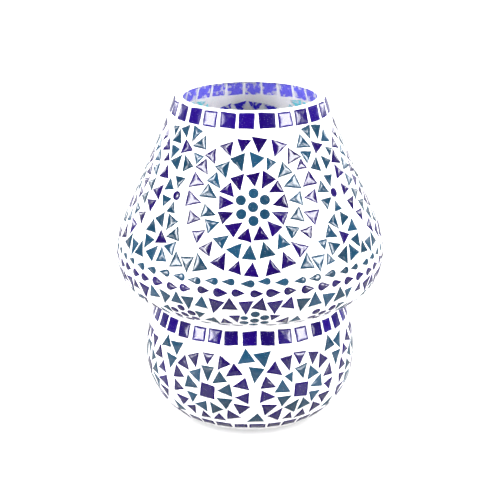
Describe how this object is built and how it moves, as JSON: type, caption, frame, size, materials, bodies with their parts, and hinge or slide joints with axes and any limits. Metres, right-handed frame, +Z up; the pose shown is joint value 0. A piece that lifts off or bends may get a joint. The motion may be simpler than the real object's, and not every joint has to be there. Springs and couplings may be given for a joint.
{
  "type": "mosaic glass table lamp",
  "caption": "Mushroom-shaped table lamp in one blown glass vessel, open on top, covered in hand-cut violet, blue and teal glass mosaic set in white grout, with a screw-in bulb inside.",
  "frame": {"origin": "on the table, under the lamp's vertical axis", "axes": "+Z up the lamp's axis; the first large medallion faces -Y; the cord inlet is at the back, on +Y"},
  "size_m": [0.1791, 0.1793, 0.221],
  "materials": {
    "clear_glass": "blown, polished",
    "grout": "white plaster grout, wiped smooth by hand",
    "violet_glass": "stained sheet glass, glossy",
    "teal_glass": "stained sheet glass, glossy",
    "lapis_glass": "stained sheet glass, glossy",
    "plated_steel": "zinc plated",
    "foam_rubber": "matt",
    "foot_rubber": "clear-grey, satin",
    "grommet_rubber": "white, satin",
    "black_plastic": "moulded, fine grain",
    "brass": "pressed, plain",
    "white_ceramic": "unglazed steatite",
    "solder": "tin solder, dull",
    "black_glass": "fused glass insulator, glossy",
    "nickel_cap": "nickel plated, thin sheet",
    "bulb_clear_glass": "thin, clear",
    "filament_phosphor": "phosphor coating"
  },
  "bodies": {
    "lamp": {"rim_squares": "lapis_glass", "medallion_dots": "teal_glass", "medallion_inner_triangles": "violet_glass", "medallion_middle_triangles": "teal_glass", "medallion_outer_triangles": "violet_glass", "star_centres": "violet_glass", "star_triangles": "teal_glass", "dome_filler_triangles": "teal_glass", "teal_drops": "teal_glass", "violet_drops": "violet_glass", "underside_teal_dots": "teal_glass", "underside_violet_dots": "violet_glass", "underside_teal_triangles": "teal_glass", "underside_violet_triangles": "violet_glass", "shoulder_squares": "lapis_glass", "foot_band_tiles": "violet_glass", "globe_star_centres": "violet_glass", "globe_star_triangles": "teal_glass", "globe_ring_triangles": "violet_glass", "globe_filler_triangles": "teal_glass", "glass_body": "clear_glass", "grout_skin": "grout", "bottom_plate": "plated_steel", "seat_plate": "plated_steel", "lower_gasket": "foam_rubber", "upper_gasket": "foam_rubber", "threaded_tube": "plated_steel", "lower_nut": "plated_steel", "upper_nut": "plated_steel", "lock_washer": "plated_steel", "foot_pads": "foot_rubber", "cable_grommet": "grommet_rubber", "holder_cap": "black_plastic", "holder_bush": "brass", "grub_screw": "plated_steel", "holder_body": "black_plastic", "holder_insert": "white_ceramic", "terminal_plates": "brass", "terminal_screws": "plated_steel", "screw_shell": "brass", "centre_contact": "brass"},
    "bulb": {"bulb_contact": "solder", "bulb_insulator": "black_glass", "bulb_cap": "nickel_cap", "bulb_glass": "bulb_clear_glass", "bulb_stem": "bulb_clear_glass", "bulb_filaments": "filament_phosphor", "bulb_wires": "plated_steel"}
  },
  "joints": [
    {"name": "bulb_lift", "type": "slide", "parent": "lamp", "child": "bulb", "axis": [0, 0, 1], "range_m": [0, 0.2]}
  ]
}
